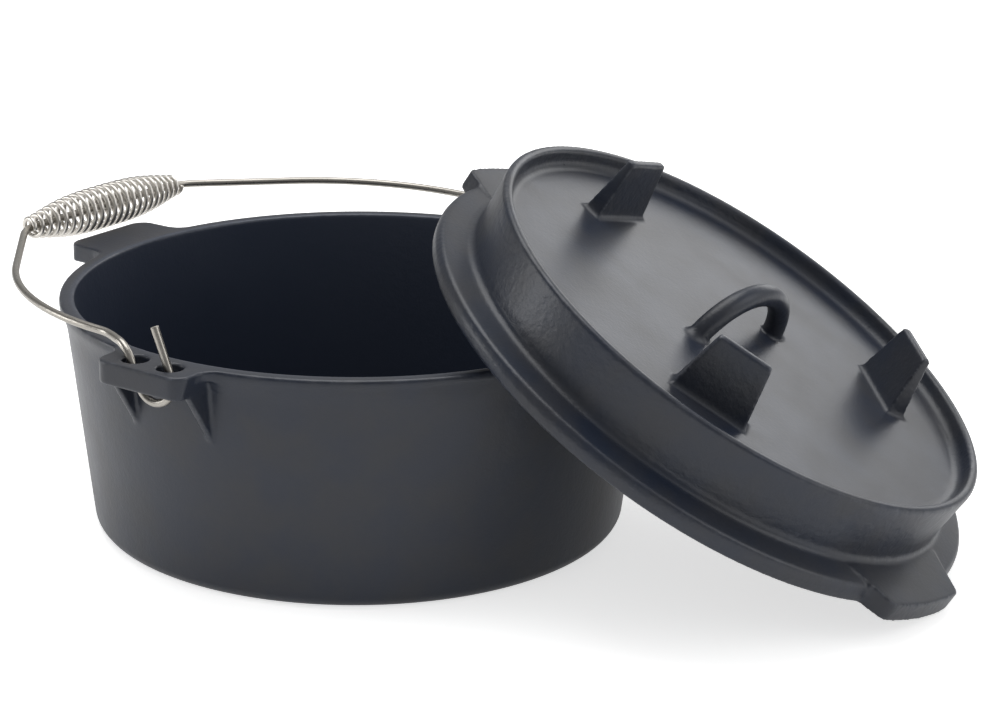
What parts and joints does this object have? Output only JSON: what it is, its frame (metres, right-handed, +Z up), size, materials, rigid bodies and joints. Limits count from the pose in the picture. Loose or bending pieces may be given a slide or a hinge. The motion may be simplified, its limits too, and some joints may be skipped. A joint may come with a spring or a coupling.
{
  "type": "camp dutch oven",
  "caption": "Cast-iron camp dutch oven: flat-bottomed pot with a folded wire bail and coil grip, and a legged, flanged lid with loop handle leaning against it.",
  "frame": {"origin": "middle of the pot's flat base, on the ground", "axes": "+Z up along the pot's axis, bail ears along Y, lifting tabs along X, the folded bail towards -X and the leaning lid towards +X"},
  "size_m": [0.5034, 0.373, 0.1932],
  "materials": {
    "pot_iron": "seasoned satin black, sand-cast",
    "lid_iron": "seasoned satin black, sand-cast",
    "bail_wire": "bright drawn stainless wire",
    "grip_wire": "bright wound stainless wire"
  },
  "bodies": {
    "pot": {"pot": "pot_iron"},
    "lid": {"lid": "lid_iron"},
    "bail": {"bail": "bail_wire"},
    "spring_grip": {"spring_grip": "grip_wire"}
  },
  "joints": [
    {"name": "lid_lift", "type": "slide", "parent": "pot", "child": "lid", "axis": [0, 0, 1], "range_m": [0, 0.2]},
    {"name": "bail_swing", "type": "hinge", "parent": "pot", "child": "bail", "pos_m": [0, 0, 0.11325], "axis": [0, 1, 0], "range_deg": [0, 46]},
    {"name": "grip_turn", "type": "hinge", "parent": "bail", "child": "spring_grip", "pos_m": [-0.1805, 0.0075, 0.1305], "axis": [0, 1, 0], "continuous": true}
  ]
}
